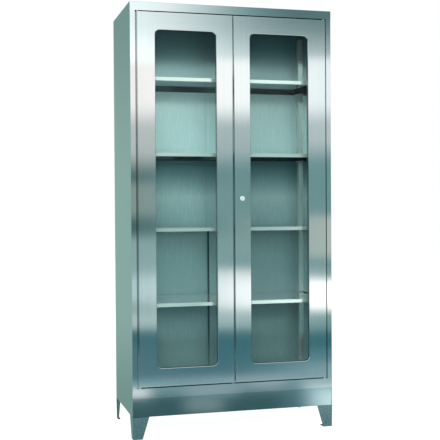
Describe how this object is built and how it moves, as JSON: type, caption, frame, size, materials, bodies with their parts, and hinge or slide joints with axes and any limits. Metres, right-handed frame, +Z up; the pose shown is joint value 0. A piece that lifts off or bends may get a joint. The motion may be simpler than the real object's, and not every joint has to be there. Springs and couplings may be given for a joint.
{
  "type": "stainless_steel_display_cabinet",
  "caption": "Tall stainless steel display cabinet with two glazed hinged doors, fixed tray shelves, a plinth and short tapered feet",
  "frame": {"origin": "on the floor, under the middle of the cabinet's footprint", "axes": "+Z up, the doors face -Y, +X to the right of someone looking at the doors"},
  "size_m": [0.95, 0.477, 1.95],
  "materials": {
    "stainless": "brushed stainless steel sheet, fine straight grain",
    "pane_glass": "clear float glass with a slight green tint",
    "rubber_black": "matt black extruded rubber",
    "nylon": "natural off-white nylon",
    "zinc_steel": "bright zinc plated steel",
    "lock_chrome": "polished chrome plate"
  },
  "bodies": {
    "carcass": {"back_panel_left": "stainless", "back_panel_right": "stainless", "back_seam_cover": "stainless", "base_corner_plates": "stainless", "bottom_rail": "stainless", "door_buffers": "rubber_black", "floor_panel": "stainless", "floor_stiffener": "stainless", "foot_front_left": "stainless", "foot_front_right": "stainless", "foot_rear_left": "stainless", "foot_rear_right": "stainless", "left_bottom_pivot": "zinc_steel", "left_side_panel": "stainless", "left_thrust_washer": "nylon", "left_top_pivot": "zinc_steel", "plinth_front": "stainless", "plinth_rear": "stainless", "right_bottom_pivot": "zinc_steel", "right_side_panel": "stainless", "right_thrust_washer": "nylon", "right_top_pivot": "zinc_steel", "shelf_1": "stainless", "shelf_2": "stainless", "shelf_3": "stainless", "shelf_4": "stainless", "shelf_clips": "zinc_steel", "shelf_upright_front_left": "stainless", "shelf_upright_front_right": "stainless", "shelf_upright_rear_left": "stainless", "shelf_upright_rear_right": "stainless", "top_panel": "stainless"},
    "left_door": {"left_door_bottom_bush": "nylon", "left_door_gasket": "rubber_black", "left_door_liner": "stainless", "left_door_pane": "pane_glass", "left_door_skin": "stainless", "left_door_top_bush": "nylon", "left_bolt_guides": "nylon"},
    "right_door": {"right_door_bottom_bush": "nylon", "right_door_gasket": "rubber_black", "right_door_liner": "stainless", "right_door_pane": "pane_glass", "right_door_skin": "stainless", "right_door_top_bush": "nylon", "lock_housing": "lock_chrome", "lock_nut": "zinc_steel", "rod_guides": "nylon"},
    "lock": {"lock_core": "lock_chrome", "lock_cam": "zinc_steel", "lock_screw": "zinc_steel"},
    "upper_rod": {"upper_rod": "zinc_steel"},
    "lower_rod": {"lower_rod": "zinc_steel"},
    "left_upper_bolt": {"left_upper_bolt": "zinc_steel"},
    "left_lower_bolt": {"left_lower_bolt": "zinc_steel"}
  },
  "joints": [
    {"name": "left_door_hinge", "type": "hinge", "parent": "carcass", "child": "left_door", "pos_m": [-0.44, -0.2295, 1.07], "axis": [0, 0, -1], "range_deg": [0, 105]},
    {"name": "right_door_hinge", "type": "hinge", "parent": "carcass", "child": "right_door", "pos_m": [0.44, -0.2295, 1.07], "axis": [0, 0, 1], "range_deg": [0, 105]},
    {"name": "lock_turn", "type": "hinge", "parent": "right_door", "child": "lock", "pos_m": [0.04, -0.218, 1.075], "axis": [0, -1, 0], "range_deg": [0, 90]},
    {"name": "upper_rod_slide", "type": "slide", "parent": "right_door", "child": "upper_rod", "axis": [0, 0, 1], "range_m": [0, 0.01555]},
    {"name": "lower_rod_slide", "type": "slide", "parent": "right_door", "child": "lower_rod", "axis": [0, 0, -1], "range_m": [0, 0.01555]},
    {"name": "left_upper_bolt_slide", "type": "slide", "parent": "left_door", "child": "left_upper_bolt", "axis": [0, 0, 1], "range_m": [0, 0.0155]},
    {"name": "left_lower_bolt_slide", "type": "slide", "parent": "left_door", "child": "left_lower_bolt", "axis": [0, 0, -1], "range_m": [0, 0.0155]}
  ],
  "couplings": [
    {"joint": "lower_rod_slide", "follows": "upper_rod_slide", "ratio": 1},
    {"joint": "lock_turn", "follows": "upper_rod_slide", "rad_per_m": 101}
  ]
}
